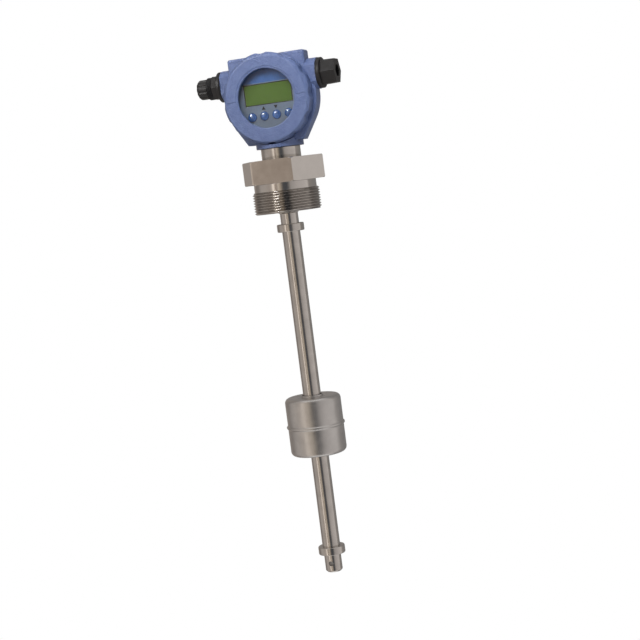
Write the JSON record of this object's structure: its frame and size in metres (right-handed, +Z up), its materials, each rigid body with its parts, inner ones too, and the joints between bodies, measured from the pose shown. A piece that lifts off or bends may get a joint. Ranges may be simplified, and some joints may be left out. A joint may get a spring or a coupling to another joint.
{
  "type": "float level transmitter",
  "caption": "Magnetic float level transmitter: painted display head with a cable gland and a blanking plug, large threaded hexagon fitting, slim stem, sliding float and end stops.",
  "frame": {"origin": "on the stem's axis at the top of the process thread", "axes": "+Z up along the stem from the tip to the head; the display faces -Y; the cable gland is on the -X side"},
  "size_m": [0.1282, 0.065, 0.4646],
  "materials": {
    "stainless": "fine turned, clean and reflective",
    "float_steel": "satin, drawn and polished",
    "blue_paint": "textured powder coat, semi-gloss",
    "black_plastic": "satin moulded",
    "seal_rubber": "matte",
    "window_glass": "clear toughened",
    "silver_plate": "silver printed foil, matte",
    "lcd_green": "blank display, smooth",
    "button_blue": "glossy dome",
    "circuit_board": "green solder resist",
    "terminal_grey": "moulded",
    "brass_parts": "machined",
    "switch_glass": "tinted glass tube",
    "ferrite": "sintered",
    "lead_sleeve": "grey sleeve"
  },
  "bodies": {
    "transmitter": {"process_fitting": "stainless", "neck_adapter": "stainless", "neck_seal": "seal_rubber", "stem_tube": "stainless", "end_plug": "stainless", "upper_stop_collar": "stainless", "lower_stop_collar": "stainless", "collar_screws": "stainless", "sensor_strip": "circuit_board", "reed_switches": "switch_glass", "sensor_lead": "lead_sleeve", "housing_body": "blue_paint", "earth_screw": "stainless", "display_faceplate": "silver_plate", "lcd_panel": "lcd_green", "display_board": "circuit_board", "button_switches": "black_plastic", "display_spacers": "brass_parts", "display_screws": "stainless", "main_board": "circuit_board", "terminal_block": "terminal_grey", "terminal_screws": "brass_parts", "sensor_connector": "terminal_grey", "gland_washer": "seal_rubber", "gland_body": "black_plastic"},
    "float": {"float_upper_shell": "float_steel", "float_lower_shell": "float_steel", "float_bore_tube": "float_steel", "float_magnet": "ferrite"},
    "menu_key": {"menu_button": "button_blue"},
    "up_key": {"up_button": "button_blue"},
    "down_key": {"down_button": "button_blue"},
    "enter_key": {"enter_button": "button_blue"},
    "cover_ring": {"cover_seal": "seal_rubber"},
    "cover": {"front_cover": "blue_paint", "window_gasket": "seal_rubber", "front_window": "window_glass", "window_retainer": "stainless"},
    "gland_rubber": {"gland_insert": "seal_rubber"},
    "gland_nut": {"gland_cap": "black_plastic"},
    "plug_ring": {"plug_washer": "seal_rubber"},
    "plug": {"stopping_plug": "black_plastic"}
  },
  "joints": [
    {"name": "float_slide", "type": "slide", "parent": "transmitter", "child": "float", "axis": [0, 0, 1], "range_m": [-0.0836, 0.1463]},
    {"name": "menu_press", "type": "slide", "parent": "transmitter", "child": "menu_key", "axis": [0, 1, 0], "range_m": [0, 0.0006], "stiffness_N_per_m": 1500, "springref_m": -0.0003},
    {"name": "up_press", "type": "slide", "parent": "transmitter", "child": "up_key", "axis": [0, 1, 0], "range_m": [0, 0.0006], "stiffness_N_per_m": 1500, "springref_m": -0.0003},
    {"name": "down_press", "type": "slide", "parent": "transmitter", "child": "down_key", "axis": [0, 1, 0], "range_m": [0, 0.0006], "stiffness_N_per_m": 1500, "springref_m": -0.0003},
    {"name": "enter_press", "type": "slide", "parent": "transmitter", "child": "enter_key", "axis": [0, 1, 0], "range_m": [0, 0.0006], "stiffness_N_per_m": 1500, "springref_m": -0.0003},
    {"name": "cover_draw", "type": "slide", "parent": "transmitter", "child": "cover_ring", "axis": [0, -1, 0], "range_m": [0, 0.00801]},
    {"name": "cover_unscrew", "type": "hinge", "parent": "cover_ring", "child": "cover", "pos_m": [0, -0.011, 0.0802], "axis": [0, -1, 0], "range_deg": [0, 1440]},
    {"name": "gland_draw", "type": "slide", "parent": "transmitter", "child": "gland_rubber", "axis": [-1, 0, 0], "range_m": [0, 0.0075]},
    {"name": "gland_unscrew", "type": "hinge", "parent": "gland_rubber", "child": "gland_nut", "pos_m": [-0.058, -0.001, 0.0963], "axis": [-1, 0, 0], "range_deg": [0, 1800]},
    {"name": "plug_draw", "type": "slide", "parent": "transmitter", "child": "plug_ring", "axis": [1, 0, 0], "range_m": [0, 0.009]},
    {"name": "plug_unscrew", "type": "hinge", "parent": "plug_ring", "child": "plug", "pos_m": [0.05, -0.001, 0.0963], "axis": [1, 0, 0], "range_deg": [0, 2160]}
  ],
  "couplings": [
    {"joint": "cover_draw", "follows": "cover_unscrew", "m_per_rad": 0.00031831},
    {"joint": "gland_unscrew", "follows": "gland_draw", "rad_per_m": 4188.8},
    {"joint": "plug_unscrew", "follows": "plug_draw", "rad_per_m": 4188.8}
  ]
}
